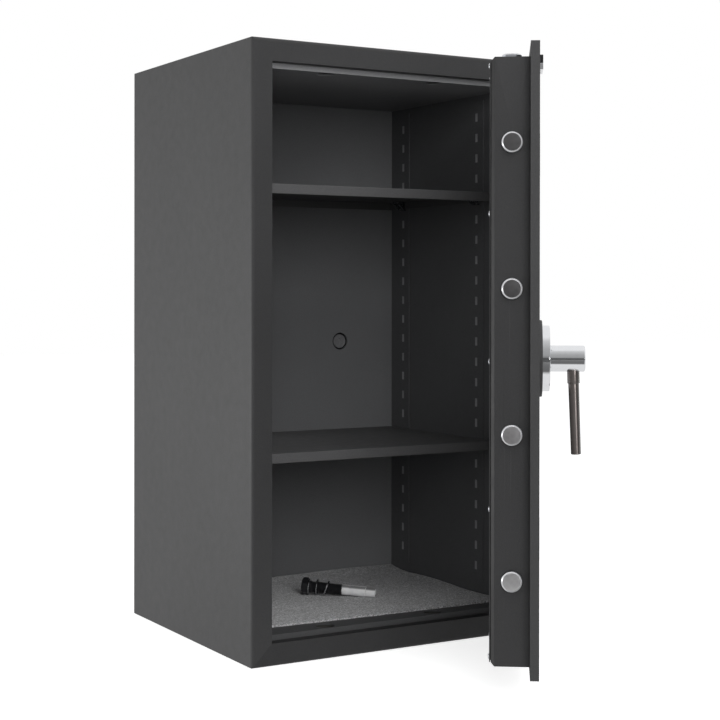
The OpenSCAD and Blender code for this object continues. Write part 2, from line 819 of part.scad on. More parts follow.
// Domed screws that hold the rear cover
module cover_screws() {
  dome_r = (screw_head_r * screw_head_r + screw_head_h * screw_head_h) / (2 * screw_head_h);
  color(zinc) on_door() for (p = screw_spots) {
    rod_y(p[0], box_y1 - box_sheet, cover_y1 + 0.5, p[1], screw_r);
    intersection() {
      translate([p[0], cover_y1 + screw_head_h - dome_r, p[1]]) sphere(r = dome_r);
      rod_y(p[0], cover_y1, cover_y1 + screw_head_h, p[1], screw_head_r);
    }
  }
}

// Steel bushes behind the box walls, one round each bolt
module bolt_bushes() {
  r = bolt_r + run_fit;
  inner_x = box_x0 + box_sheet;
  inner_z0 = box_z0 + box_sheet;
  inner_z1 = box_z1 - box_sheet;
  color(zinc) on_door() {
    for (z = side_bolt_zs) difference() {
      rod_x(inner_x, inner_x + bush_l, bolt_y, z, bolt_r + bush_wall);
      rod_x(inner_x - 1, inner_x + bush_l + 1, bolt_y, z, r);
    }
    for (x = up_bolt_xs) {
      difference() {
        rod_z(x, bolt_y, inner_z1 - bush_l, inner_z1, bolt_r + bush_wall);
        rod_z(x, bolt_y, inner_z1 - bush_l - 1, inner_z1 + 1, r);
      }
      difference() {
        rod_z(x, bolt_y, inner_z0, inner_z0 + bush_l, bolt_r + bush_wall);
        rod_z(x, bolt_y, inner_z0 - 1, inner_z0 + bush_l + 1, r);
      }
    }
  }
}

module spindle_bush() {
  color([0.75, 0.62, 0.3]) on_door() difference() {
    rod_y(handle_x, 0, plate_t, handle_z, spindle_r + spindle_bush_wall);
    rod_y(handle_x, -1, plate_t + 1, handle_z, spindle_r + run_fit);
  }
}

module handle_base_disc() {
  color(paint_dark) on_door() difference() {
    rod_y(handle_x, -base_disc_t, 0, handle_z, base_disc_r);
    rod_y(handle_x, -base_disc_t - 1, 1, handle_z, spindle_r + hole_gap);
  }
}

rose_front = base_disc_t + rose_t;
module handle_rose() {
  color(chromed) on_door() difference() {
    rod_y(handle_x, -rose_front, -base_disc_t, handle_z, rose_r);
    rod_y(handle_x, -rose_front - 1, 1, handle_z, spindle_r + hole_gap);
  }
}

badge_x0 = plate_x0 + badge_inset;
badge_z1 = plate_z1 - badge_drop;
module badge_base() {
  color(chromed) on_door()
    block([badge_x0, -badge_t, badge_z1 - badge_h],
      [badge_x0 + badge_w, 0, badge_z1 - badge_dark_h]);
}
module badge_inlay() {
  color(black_steel) on_door()
    block([badge_x0, -badge_t, badge_z1 - badge_dark_h], [badge_x0 + badge_w, 0, badge_z1]);
}

module key_escutcheon() {
  color(chromed) on_door() difference() {
    rod_y(core_x, -escutcheon_t, 0, core_z, escutcheon_r);
    rod_y(core_x, -escutcheon_t - 1, 1, core_z, core_r + hole_gap);
  }
}

module hard_plate() {
  m = 4;
  color(zinc) on_door() difference() {
    block([lock_x0 + m, plate_t, lock_z0 - m],
      [lock_x0 + lock_w + m, lock_y0, lock_z0 + lock_h + m]);
    rod_y(core_x, plate_t - 1, lock_y0 + 1, core_z, core_r + hole_gap);
  }
}

// Open lock case with a window for its bolt
module lock_case() {
  t = lock_wall;
  g = slide_gap;
  color(zinc) on_door() difference() {
    block([lock_x0, lock_y0, lock_z0], [lock_x0 + lock_w, lock_y0 + lock_d, lock_z0 + lock_h]);
    block([lock_x0 + t, lock_y0 + t, lock_z0 + t],
      [lock_x0 + lock_w - t, lock_y0 + lock_d + 1, lock_z0 + lock_h - t]);
    block([lock_x0 - 1, lock_bolt_y0 - g, lock_z - lock_bolt_h / 2 - g],
      [lock_x0 + t + 1, lock_bolt_y1 + g, lock_z + lock_bolt_h / 2 + g]);
    rod_y(core_x, lock_y0 - 1, lock_y0 + t + 1, core_z, core_r + run_fit);
  }
}

module lock_lid() {
  color(zinc) on_door()
    block([lock_x0, lock_y0 + lock_d, lock_z0],
      [lock_x0 + lock_w, lock_y0 + lock_d + 2, lock_z0 + lock_h]);
}

module lock_bolt() {
  color([0.75, 0.62, 0.3]) on_door()
    block([lock_nose_x, lock_bolt_y0, lock_z - lock_bolt_h / 2],
      [lock_x0 + lock_w - lock_wall - 4, lock_bolt_y1, lock_z + lock_bolt_h / 2]);
}

// Core that the key turns, with its driver above the lock bolt
module key_core() {
  y1 = lock_bolt_y1 + 4;
  color([0.75, 0.62, 0.3]) on_door() difference() {
    union() {
      rod_y(core_x, -escutcheon_t + 0.5, y1, core_z, core_r);
      rod_y(core_x, lock_bolt_y0, lock_bolt_y1 - 1, core_z, driver_r);
    }
    block([core_x - 0.9, -escutcheon_t, core_z - 4.5],
      [core_x + 0.9, plate_t, core_z + 4.5]);
  }
}

// Hub of the handle, with a blind seat for the spindle and one for the lever
hub_y0 = -rose_front - face_gap;
lever_y = -rose_front - lever_out;
lever_root = hub_r - 4;
module in_lever() {
  translate([handle_x, lever_y, handle_z]) rotate([180 - lever_lean, 0, 0]) children();
}

module handle_hub() {
  color(chromed) on_door() difference() {
    rod_y(handle_x, hub_y0 - hub_l, hub_y0, handle_z, hub_r);
    rod_y(handle_x, hub_y0 - 14, hub_y0 + 1, handle_z, spindle_r + seat_fit);
    in_lever() translate([0, 0, lever_root])
      cylinder(h = hub_r, r = lever_top_r + collar_wall + seat_fit);
  }
}

module handle_lever() {
  color(chromed) on_door() in_lever() translate([0, 0, lever_root])
    cylinder(h = lever_l - lever_root, r1 = lever_top_r, r2 = lever_foot_r);
}

module lever_collar() {
  color(chromed) on_door() in_lever() translate([0, 0, lever_root]) difference() {
    cylinder(h = collar_l, r = lever_top_r + collar_wall);
    translate([0, 0, -1]) cylinder(h = collar_l + 2, r = lever_top_r + seat_fit);
  }
}

module handle_spindle() {
  color(zinc) on_door() rod_y(handle_x, hub_y0 - 14, cam_y1 + 2, handle_z, spindle_r);
}

// A spiral slot in the cam: its follower stands at start_angle when the bolts are drawn in
module cam_slot(start_angle) {
  steps = 24;
  over = 3;
  half = follower_r + 0.25;
  function spot(k) = -over + (handle_turn + 2 * over) * k / steps;
  function dist(t) = cam_r0 + cam_rise * t;
  function mid(t) = [dist(t) * cos(start_angle - t), dist(t) * sin(start_angle - t)];
  function side(t) = let (
      a = start_angle - t,
      dr = cam_rise * 180 / PI,
      v = [dr * cos(a) + dist(t) * sin(a), dr * sin(a) - dist(t) * cos(a)]
    ) [-v[1], v[0]] / norm(v);
  left = [for (k = [0 : steps]) mid(spot(k)) + half * side(spot(k))];
  right = [for (k = [steps : -1 : 0]) mid(spot(k)) - half * side(spot(k))];
  polygon(concat(left, right));
  for (t = [-over, handle_turn + over]) translate(mid(t)) circle(r = half);
}

module cam_disc() {
  color([0.55, 0.56, 0.58]) on_door()
    translate([handle_x, cam_y1, handle_z]) rotate([90, 0, 0])
      linear_extrude(cam_t) difference() {
        circle(r = cam_r);
        circle(r = spindle_r + seat_fit);
        for (a = [90, 180, 270]) cam_slot(a);
      }
}

module spindle_clip() {
  color(zinc) on_door() difference() {
    rod_y(handle_x, cam_y1, cam_y1 + 2, handle_z, spindle_r + 3);
    rod_y(handle_x, cam_y1 - 1, cam_y1 + 3, handle_z, spindle_r + seat_fit);
  }
}

// A bolt along +Z with its free end at [0, 0, 0] and its body below
module bolt() {
  translate([0, 0, -bolt_l]) cylinder(h = bolt_l - bolt_chamfer, r = bolt_r);
  translate([0, 0, -bolt_chamfer])
    cylinder(h = bolt_chamfer, r1 = bolt_r, r2 = bolt_r - bolt_chamfer);
}

module side_bolts() {
  color(chromed) on_door() for (z = side_bolt_zs)
    translate([side_tip_x, bolt_y, z]) rotate([0, -90, 0]) bolt();
}

// Half length of a bar beyond its outermost bolt
bar_over = bolt_r + 2;
arm_end = arm_w / 2 - 0.5;
module side_carrier() {
  x0 = side_tip_x + bolt_l;
  y1 = bar_y0 + arm_t;
  pin_x = handle_x - cam_r0;
  color(zinc) on_door() {
    block([x0, bar_y0, side_bolt_zs[0] - bar_over],
      [x0 + bar_t, bar_y0 + bar_depth, side_bolt_zs[side_bolt_count - 1] + bar_over]);
    block([x0, bar_y0, handle_z - arm_w / 2], [pin_x + arm_end, y1, handle_z + arm_w / 2]);
    rod_y(pin_x, cam_y0 + 0.3, y1, handle_z, follower_r);
  }
}

module top_bolts() {
  color(chromed) on_door() for (x = up_bolt_xs) translate([x, bolt_y, top_tip_z]) bolt();
}
module bottom_bolts() {
  color(chromed) on_door() for (x = up_bolt_xs)
    translate([x, bolt_y, bottom_tip_z]) rotate([180, 0, 0]) bolt();
}

// Bar and arm of the upright bolts, drawn for the top ones
module upright_carrier(bolt_end, notched) {
  y1 = bar_y0 + arm_t;
  pin_z = handle_z + cam_r0;
  notch = lock_bolt_h + 1;
  difference() {
    union() {
      block([up_bolt_xs[0] - bar_over, bar_y0, bolt_end - bar_t],
        [up_bolt_xs[1] + bar_over, bar_y0 + bar_depth, bolt_end]);
      block([handle_x - arm_w / 2, bar_y0, pin_z - arm_end],
        [handle_x + arm_w / 2, y1, bolt_end]);
      rod_y(handle_x, cam_y0 + 0.3, y1, pin_z, follower_r);
    }
    if (notched) for (d = [0, -bolt_travel])
      block([lock_nose_x - lock_travel - 1, bar_y0 - 1, lock_z + d - notch / 2],
        [handle_x + arm_w, y1 + 1, lock_z + d + notch / 2]);
  }
}

module top_carrier() {
  color(zinc) on_door() upright_carrier(top_tip_z - bolt_l, true);
}
module bottom_carrier() {
  color(zinc) on_door() translate([0, 0, 2 * handle_z]) mirror([0, 0, 1])
    upright_carrier(2 * handle_z - bottom_tip_z - bolt_l, false);
}

shell_left();
shell_right();
shell_top();
shell_bottom();
back_panel();
wall_fill();
liner_left();
liner_right();
liner_top();
liner_floor();
liner_back();
strip_left_front();
strip_left_rear();
strip_right_front();
strip_right_rear();
shelf_upper();
shelf_lower();
shelf_clips_upper();
shelf_clips_lower();
anchor_tubes();
anchor_plugs();
floor_mat();
anchor_bolt();
anchor_washers();
anchor_sleeve();
anchor_cone();
frame_knuckles();
hinge_pins();
door_plate();
door_box();
insulation_board();
cover_gasket();
rear_cover();
cover_screws();
bolt_bushes();
spindle_bush();
handle_base_disc();
handle_rose();
badge_base();
badge_inlay();
key_escutcheon();
hard_plate();
lock_case();
lock_lid();
door_knuckles();
handle_hub();
handle_lever();
lever_collar();
handle_spindle();
cam_disc();
spindle_clip();
side_bolts();
side_carrier();
top_bolts();
top_carrier();
bottom_bolts();
bottom_carrier();
lock_bolt();
key_core();
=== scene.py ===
import math
import bpy
import numpy as np
from mathutils import Matrix, Vector


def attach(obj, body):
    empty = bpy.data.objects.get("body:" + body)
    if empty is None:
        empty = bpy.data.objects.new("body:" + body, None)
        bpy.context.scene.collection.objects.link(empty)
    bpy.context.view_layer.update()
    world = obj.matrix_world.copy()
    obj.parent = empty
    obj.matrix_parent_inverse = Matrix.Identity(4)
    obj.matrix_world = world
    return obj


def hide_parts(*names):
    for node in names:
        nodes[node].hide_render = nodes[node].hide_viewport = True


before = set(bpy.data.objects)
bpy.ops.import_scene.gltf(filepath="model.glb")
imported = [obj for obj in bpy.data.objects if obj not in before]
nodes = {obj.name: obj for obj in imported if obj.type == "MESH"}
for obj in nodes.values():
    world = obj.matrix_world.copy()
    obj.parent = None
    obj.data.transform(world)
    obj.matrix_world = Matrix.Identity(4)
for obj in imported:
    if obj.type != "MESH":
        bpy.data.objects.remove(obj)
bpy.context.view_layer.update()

# CAMERA
# Stands about 2.2 m in front of the safe's left side at the height of its middle, level,
# with the picture shifted down as by a view camera so that the uprights stay upright.
camera_place = (-1.0925, -1.9263, 0.4779)
focal_px, picture_px, sensor_mm = 1529.63, 720, 36
yaw, pitch, roll = math.radians(30.589), math.radians(0.204), math.radians(0.063)
forward = Vector((math.sin(yaw) * math.cos(pitch), math.cos(yaw) * math.cos(pitch),
                  -math.sin(pitch)))
level = Vector((math.cos(yaw), -math.sin(yaw), 0))
upright = level.cross(forward)
right = level * math.cos(roll) + upright * math.sin(roll)
up = upright * math.cos(roll) - level * math.sin(roll)
camera = bpy.data.objects.new("camera", bpy.data.cameras.new("camera"))
camera.data.sensor_width = sensor_mm
camera.data.lens = focal_px * sensor_mm / picture_px
camera.data.shift_x = 0.0002
camera.data.shift_y = -0.0879
camera.matrix_world = Matrix(
    [(right[k], up[k], -forward[k], camera_place[k]) for k in range(3)] + [(0, 0, 0, 1)])
bpy.context.scene.collection.objects.link(camera)
bpy.context.scene.camera = camera
bpy.context.scene.view_settings.view_transform = "Standard"


# ROOM
# A white studio: pure white behind the safe and soft light from all round. For the chrome
# there is the dim side of the room where the camera stands, with a dark horizon and one
# upright strip light in it.
def feed(node, inputs):
    """Sets each input of a node to its value or, where a socket is given, links it to that."""
    for key, value in inputs.items():
        if isinstance(value, bpy.types.NodeSocket):
            node.id_data.links.new(value, node.inputs[key])
        else:
            node.inputs[key].default_value = value


def add_node(tree, kind, inputs=None, **settings):
    """A new shader node of a kind, with its settings made before its inputs are fed."""
    node = tree.nodes.new("ShaderNode" + kind)
    for key, value in settings.items():
        setattr(node, key, value)
    feed(node, inputs or {})
    return node


def grey(value):
    """An opaque grey of a linear value."""
    return (value, value, value, 1)


def grey_ramp(tree, source, stops, blue=1.0):
    """A colour ramp through (place, grey) stops, its blue multiplied by the given factor."""
    node = add_node(tree, "ValToRGB", {"Fac": source})
    elements = node.color_ramp.elements
    while len(elements) < len(stops):
        elements.new(0.5)
    for element, (place, value) in zip(elements, stops):
        element.position = place
        element.color = (value, value, value * blue, 1)
    return node.outputs["Color"]


def map_range(tree, source, start=0.0, end=1.0, low=0.0, high=1.0, kind="LINEAR"):
    """A value that runs from low to high while the source runs from start to end."""
    ends = {"From Min": start, "From Max": end, "To Min": low, "To Max": high}
    return add_node(tree, "MapRange", {"Value": source, **ends}, interpolation_type=kind).outputs[0]


def share_along(tree, source, direction):
    """The length of a vector along a direction, which is their dot product."""
    inputs = {0: source, 1: direction}
    return add_node(tree, "VectorMath", inputs, operation="DOT_PRODUCT").outputs["Value"]


def mix_colors(tree, factor, first, second, blend="MIX"):
    """The first colour blended with the second by a factor."""
    inputs = {0: factor, 6: first, 7: second}
    return add_node(tree, "Mix", inputs, data_type="RGBA", blend_type=blend).outputs[2]


def math_node(tree, operation, first, second):
    """The result of an operation on two numbers."""
    return add_node(tree, "Math", {0: first, 1: second}, operation=operation).outputs[0]


world = bpy.data.worlds.new("studio")
bpy.context.scene.world = world
world.use_nodes = True
nt = world.node_tree
nt.nodes.clear()
to_camera = (-0.51, -0.86, 0.0)
to_strip = (-0.099, -0.995, 0.0)
strip_glow = 6
ray = add_node(nt, "LightPath").outputs
view = add_node(nt, "TexCoord").outputs["Generated"]
height = add_node(nt, "SeparateXYZ", {0: view}).outputs["Z"]
bands = grey_ramp(nt, map_range(nt, height, -1), (
    (0.0, 0.22), (0.40, 0.20), (0.455, 0.20), (0.485, 0.16), (0.495, 0.05), (0.515, 0.06),
    (0.54, 0.20), (0.60, 0.34), (0.80, 0.42), (0.95, 0.60), (1.0, 0.9)))
strip = map_range(nt, share_along(nt, view, to_strip), 0.990, 0.998, kind="SMOOTHSTEP")
dim_side = map_range(nt, share_along(nt, view, to_camera), -0.05, 0.25, kind="SMOOTHSTEP")
lit_side = mix_colors(nt, strip, bands, grey(strip_glow))
mirrored_room = mix_colors(nt, dim_side, grey(0.88), lit_side)
soft_light, white_back, mirrored_back = [
    add_node(nt, "Background", {"Color": color, "Strength": 1.0}).outputs[0]
    for color in (grey(0.42), grey(1.0), mirrored_room)]
thrown = add_node(nt, "MixShader", {0: ray["Is Glossy Ray"], 1: soft_light, 2: mirrored_back})
seen = add_node(nt, "MixShader", {0: ray["Is Camera Ray"], 1: thrown.outputs[0], 2: white_back})
add_node(nt, "OutputWorld", {"Surface": seen.outputs[0]})


# LIGHTS
# A large soft box on the left lights the cabinet's side most at its middle, a second one
# high beside the camera reaches into the compartments, and a weak one hangs above.
def soft_box(name, place, target, size, watts, mirrored=True):
    """An area light of the given width and height in metres at place, turned to target."""
    data = bpy.data.lights.new(name, "AREA")
    data.shape = "RECTANGLE"
    data.size, data.size_y = size
    data.energy = watts
    lamp = bpy.data.objects.new(name, data)
    lamp.location = place
    lamp.visible_glossy = mirrored
    lamp.rotation_euler = (Vector(target) - Vector(place)).to_track_quat("-Z", "Y").to_euler()
    bpy.context.scene.collection.objects.link(lamp)


soft_box("left_box", place=(-1.62, 0.42, 0.27), target=(-0.2275, 0.03, 0.27),
         size=(1.0, 0.5), watts=13.2)
soft_box("front_box", place=(-0.75, -2.5, 1.05), target=(0.05, 0, 0.45),
         size=(1.3, 1.2), watts=27, mirrored=False)
soft_box("top_box", place=(0.0, -1.3, 1.9), target=(0, 0, 0.3),
         size=(1.2, 1.0), watts=12, mirrored=False)


# FLOOR
# The pale seamless sheet the safe stands on. Seen directly it is lifted to plain white, so
# that only the soft shade under the safe is left. What it throws back is a plain pale grey,
# and chrome sees it dim towards the camera.
def new_material(name, inputs):
    """A material with the given inputs of its shader, its node tree and that shader."""
    made = bpy.data.materials.new(name)
    made.use_nodes = True
    shader = made.node_tree.nodes["Principled BSDF"]
    feed(shader, inputs)
    return made, made.node_tree, shader


reach, drop = 9, -0.0005
mesh = bpy.data.meshes.new("floor_sheet")
mesh.from_pydata([(-reach, -reach, drop), (reach, -reach, drop),
                  (reach, reach, drop), (-reach, reach, drop)], [], [(0, 1, 2, 3)])
floor = bpy.data.objects.new("floor_sheet", mesh)
bpy.context.scene.collection.objects.link(floor)
pale, nt, shader = new_material("pale_floor", {
    "Roughness": 0.9, "Specular IOR Level": 0.1, "Emission Color": grey(1)})
ray = add_node(nt, "LightPath").outputs
thrown_tone = mix_colors(nt, ray["Is Glossy Ray"], grey(0.40), grey(0.10))
nearness = share_along(nt, add_node(nt, "TexCoord").outputs["Object"], to_camera)
glow_in_chrome = map_range(nt, nearness, start=0.66, end=0.80, low=1.0, high=0.06)
mirrored = math_node(nt, "MULTIPLY", ray["Is Glossy Ray"], glow_in_chrome)
seen = math_node(nt, "MAXIMUM", ray["Is Camera Ray"], mirrored)
feed(shader, {"Base Color": mix_colors(nt, ray["Is Camera Ray"], thrown_tone, grey(0.9)),
              "Emission Strength": math_node(nt, "MULTIPLY", seen, 0.72)})
mesh.materials.append(pale)


# POWDER COAT
# The whole safe is sprayed with one charcoal fine-texture powder: small tight grains, a
# slow orange peel under them, and a faint change of tone where the coat is thicker.
def centred(tree, place, stretch=(1, 1, 1)):
    """The point in the object's coordinates, from place, stretched along each axis."""
    inputs = {"Vector": add_node(tree, "TexCoord").outputs["Object"],
              "Location": [-v * s for v, s in zip(place, stretch)], "Scale": stretch}
    return add_node(tree, "Mapping", inputs).outputs[0]


def noise(tree, point, scale, detail, warp=0.0):
    """Cloudy noise of a scale per metre, with layers of detail and a warp."""
    inputs = {"Vector": point, "Scale": scale, "Detail": detail, "Distortion": warp}
    return add_node(tree, "TexNoise", inputs).outputs[0]


def bump(tree, height, depth, strength, under=None):
    """A normal tilted by the slope of a height of the given depth in metres, over another."""
    inputs = {"Height": height, "Distance": depth, "Strength": strength}
    if under:
        inputs["Normal"] = under
    return add_node(tree, "Bump", inputs).outputs[0]


def shades(tree, factor, tone, spread):
    """A colour between the tone made darker and made lighter by the spread."""
    return mix_colors(tree, factor, [v * (1 - spread) for v in tone] + [1],
                      [min(1, v * (1 + spread)) for v in tone] + [1])


def coated(name, tone, place, rough=0.56):
    """A powder coat of a mean linear grey, its noise centred on place."""
    grain = 0.00012
    made, tree, shader = new_material(name, {"Specular IOR Level": 0.42})
    point = centred(tree, place)
    grains = noise(tree, point, 1150, 2.0)
    cloud = shades(tree, noise(tree, point, 5.5, 4.0), tone, 0.14)
    fleck = grey_ramp(tree, grains, ((0.30, 0.80), (0.74, 1.22)))
    peel = bump(tree, noise(tree, point, 260, 2.0), grain * 1.5, 0.5)
    wear = noise(tree, point, 70, 3.0)
    feed(shader, {
        "Base Color": mix_colors(tree, 1, cloud, fleck, "MULTIPLY"),
        "Roughness": map_range(tree, wear, low=rough - 0.07, high=rough + 0.07),
        "Normal": bump(tree, grains, grain, 0.8, peel)})
    return made


def painted_light_ramp(material, output, direction, start, end, factor):
    """Paints light or shade: multiplies the base colour by a factor that runs from 1 to the given
    one where the point or the normal, measured along a direction, goes from start to end."""
    tree = material.node_tree
    base = tree.nodes["Principled BSDF"].inputs["Base Color"]
    along = share_along(tree, add_node(tree, "TexCoord").outputs[output], direction)
    share = map_range(tree, along, start, end, 1.0, factor)
    inputs = {0: base.links[0].from_socket, "Scale": share}
    scaled = add_node(tree, "VectorMath", inputs, operation="SCALE")
    tree.links.new(scaled.outputs[0], base)


def dress(name, material, edge=0.0):
    """Gives a CAD node its material and, where edge is above 0, rounds its sharp edges by
    that radius in metres."""
    piece = nodes[name]
    piece.data.materials.clear()
    piece.data.materials.append(material)
    if edge:
        weld = piece.modifiers.new("weld", "WELD")
        weld.merge_threshold = 0.000002
        bevel = piece.modifiers.new("round", "BEVEL")
        bevel.width = edge
        bevel.segments = 2
        bevel.limit_method = "ANGLE"
        bevel.angle_limit = math.radians(40)
        bevel.use_clamp_overlap = True
        bevel.harden_normals = False


# OUTER SHELL
# Four folded sides with mitred corners and the back panel between them, all under one coat.
# The bottom's tone is painted darker as painted shade, and darker still towards its right end as a
# painted shadow of the open door.
outer_coat = coated("outer_coat", (0.040, 0.040, 0.041), (0, 0, 0.4))
shaded_foot_coat = coated("shaded_foot_coat", (0.031, 0.031, 0.032), (0, -0.1, 0.02))
# Painted shadow of the open door: the bottom's colour darkens towards its right end.
painted_light_ramp(shaded_foot_coat, "Object", (1, 0, 0), -0.12, 0.10, 0.62)
for name in ("shell_left", "shell_right", "shell_top"):
    dress(name, outer_coat)
dress("shell_bottom", shaded_foot_coat)
dress("back_panel", outer_coat, 0.0008)
dress("frame_knuckles", outer_coat, 0.0005)

# INNER LINER AND STRIPS
# Thinner sheet in a slightly duller coat, with tubes through the back; the slotted strips
# are coated with it. Its tone is painted light, lifted well above the outer coat's; the back is
# painted lighter still and lighter towards the right, the ceiling lightest as painted light,
# and the sill is darker.
lit_inner_coat = coated("lit_inner_coat", (0.128, 0.130, 0.134), (0, 0.1, 0.4), 0.6)
lit_back_coat = coated("lit_back_coat", (0.235, 0.238, 0.245), (0, 0.1, 0.4), 0.6)
lit_ceiling_coat = coated("lit_ceiling_coat", (0.290, 0.292, 0.300), (0, 0.1, 0.76), 0.6)
sill_coat = coated("sill_coat", (0.080, 0.081, 0.083), (0, 0.0, 0.03), 0.6)
# Painted light: the back's colour is painted lighter towards its right side.
painted_light_ramp(lit_back_coat, "Object", (-1, 0, 0), -0.17, 0.02, 0.52)
for name in ("liner_left", "liner_right", "strip_left_front", "strip_left_rear",
             "strip_right_front", "strip_right_rear"):
    dress(name, lit_inner_coat)
dress("liner_top", lit_ceiling_coat)
dress("liner_back", lit_back_coat)
dress("anchor_tubes", lit_back_coat)
dress("liner_floor", sill_coat)

# SHELVES
# Sheet trays with all four edges folded down; the folds have a small radius.
shelf_coat = coated("shelf_coat", (0.098, 0.098, 0.100), (0, 0.0, 0.45), 0.52)
dress("shelf_upper", shelf_coat, 0.0009)
dress("shelf_lower", shelf_coat, 0.0009)

# DOOR
# A thick plate with slightly broken edges, the folded box behind it, the cover that closes
# the box, and the hinge leaves.
door_middle = (0.1, -0.35, 0.4)
door_coat = coated("door_coat", (0.035, 0.035, 0.036), door_middle)
plate_coat = coated("plate_coat", (0.052, 0.052, 0.053), door_middle)
box_coat = coated("box_coat", (0.035, 0.035, 0.036), door_middle)
# Painted shade: the folded edge of the box that faces left is painted darker.
painted_light_ramp(box_coat, "Normal", (-0.988, -0.155, 0), 0.86, 0.97, 0.45)
dress("door_plate", plate_coat, 0.0007)
dress("door_box", box_coat, 0.0006)
dress("rear_cover", door_coat, 0.0005)
dress("door_knuckles", door_coat, 0.0005)


# BARE METAL
# Zinc with its faint crystal pattern on clips, carriers and the lock, brass on what turns
# or slides in it, and chrome with fine turning or brushing marks on pins and badge.
def metal(name, tone, rough, place, marks=0.00002, spangle=0.06, stretch=(1, 1, 1), scale=900):
    """A metal of a linear tone whose roughness and brightness wander, with fine marks of
    the given depth in metres."""
    made, tree, shader = new_material(name, {"Metallic": 1.0})
    fine = noise(tree, centred(tree, place, stretch), scale, 3)
    point = add_node(tree, "TexCoord").outputs["Object"]
    crystals = add_node(tree, "TexVoronoi", {"Vector": point, "Scale": 160}).outputs["Distance"]
    feed(shader, {"Base Color": shades(tree, crystals, tone, spangle),
                  "Roughness": map_range(tree, fine, low=rough * 0.75, high=rough * 1.25),
                  "Normal": bump(tree, fine, marks, 0.35)})
    return made


def metallic(material, share):
    """Makes a metal partly a plain paint, which keeps its tone where it mirrors darkness."""
    feed(material.node_tree.nodes["Principled BSDF"], {"Metallic": share})


zinc = metal("zinc_plate", (0.58, 0.59, 0.61), 0.34, (0, 0, 0.4), spangle=0.16)
dark_zinc = metal("dark_zinc_plate", (0.34, 0.345, 0.355), 0.26, (0, 0, 0.4), spangle=0.16)
brass = metal("brass", (0.66, 0.50, 0.22), 0.28, (0, -0.3, 0.4), 0.00001, 0.05)
chrome = metal("polished_chrome", (0.86, 0.87, 0.89), 0.07, (0.05, -0.35, 0.4), 0.000006, 0.02)
for name in ("shelf_clips_upper", "shelf_clips_lower"):
    dress(name, dark_zinc, 0.0005)
for name in ("bolt_bushes", "hard_plate", "lock_case", "lock_lid", "handle_spindle", "cam_disc",
             "spindle_clip", "side_carrier", "top_carrier", "bottom_carrier"):
    dress(name, zinc)
for name in ("spindle_bush", "lock_bolt", "key_core"):
    dress(name, brass)
dress("hinge_pins", chrome)
dress("key_escutcheon", chrome)
dress("badge_base", chrome, 0.0006)


# DARK PLASTIC, RUBBER AND FILLING
# The badge's upper half, the cover's gasket, the dark filling that shows in the bolt holes,
# and the pale board behind the cover.
def dull(name, tone, rough, place, scale, depth):
    """A non-metal with grains of the given scale per metre and depth in metres."""
    made, tree, shader = new_material(name, {})
    grain = noise(tree, centred(tree, place), scale, 4)
    feed(shader, {"Base Color": shades(tree, grain, tone, 0.25),
                  "Roughness": map_range(tree, grain, low=rough - 0.08, high=rough + 0.08),
                  "Normal": bump(tree, grain, depth, 0.6)})
    return made


black_plastic = dull("black_plastic", (0.012, 0.012, 0.013), 0.42, (0, 0, 0.4), 600, 0.00004)
gasket_rubber = dull("gasket_rubber", (0.008, 0.008, 0.008), 0.75, (0, -0.3, 0.4), 500, 0.00006)
filling = dull("wall_filling", (0.050, 0.048, 0.045), 0.85, (0, 0, 0.4), 140, 0.0008)
board = dull("insulation_fibre", (0.62, 0.60, 0.54), 0.88, (0, -0.3, 0.4), 240, 0.0005)
dress("badge_inlay", black_plastic, 0.0006)
dress("cover_gasket", gasket_rubber)
dress("wall_fill", filling)
dress("insulation_board", board)


# ROUND PARTS
# Everything turned on a lathe has small radii at its rims, so each is made again as one
# closed turned surface in the place of its plain CAD form.
def placed(name, points, faces, material, body, node=None, sharp=38):
    """Makes one mesh piece from points in metres in the row frame and puts it on its body;
    edges that bend by more than sharp degrees stay sharp."""
    made = bpy.data.meshes.new(name)
    made.from_pydata(np.asarray(points, float).tolist(), [], faces)
    made.materials.append(material)
    made.polygons.foreach_set("use_smooth", [True] * len(made.polygons))
    made.update()
    made.set_sharp_from_angle(angle=math.radians(sharp))
    piece = bpy.data.objects.new(name, made)
    bpy.context.scene.collection.objects.link(piece)
    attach(piece, body)
    if node:
        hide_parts(node)
    return piece


def rounded(corners, steps=4):
    """A profile of (radius, height, fillet) corners as (radius, height) points. Each fillet
    is an arc between its two points of contact, swept evenly by the turn at the corner."""
    line = []
    for k, (r, t, fillet) in enumerate(corners):
        if not fillet or k in (0, len(corners) - 1):
            line.append((r, t))
            continue
        here = np.array((r, t), float)
        a = np.array(corners[k - 1][:2], float) - here
        b = np.array(corners[k + 1][:2], float) - here
        a, b = a / np.linalg.norm(a), b / np.linalg.norm(b)
        half = math.acos(max(-1, min(1, float(a @ b)))) / 2
        contact = fillet / math.tan(half)
        heart = here + (a + b) / np.linalg.norm(a + b) * fillet / math.sin(half)
        p, q = here + a * contact - heart, here + b * contact - heart
        turn = math.pi - 2 * half
        for i in range(steps + 1):
            w = i / steps
            v = (math.sin((1 - w) * turn) * p + math.sin(w * turn) * q) / math.sin(turn)
            line.append(tuple(heart + v))
    return line


def belt(i, k, n):
    """Quads between a closed ring of n points from index i and the next ring from index k."""
    return [(i + j, i + (j + 1) % n, k + (j + 1) % n, k + j) for j in range(n)]


def fan(i, tip, n, before=False):
    """Triangles between a closed ring of n points from index i and a tip after or before it."""
    if before:
        return [(i + (j + 1) % n, i + j, tip) for j in range(n)]
    return [(i + j, i + (j + 1) % n, tip) for j in range(n)]


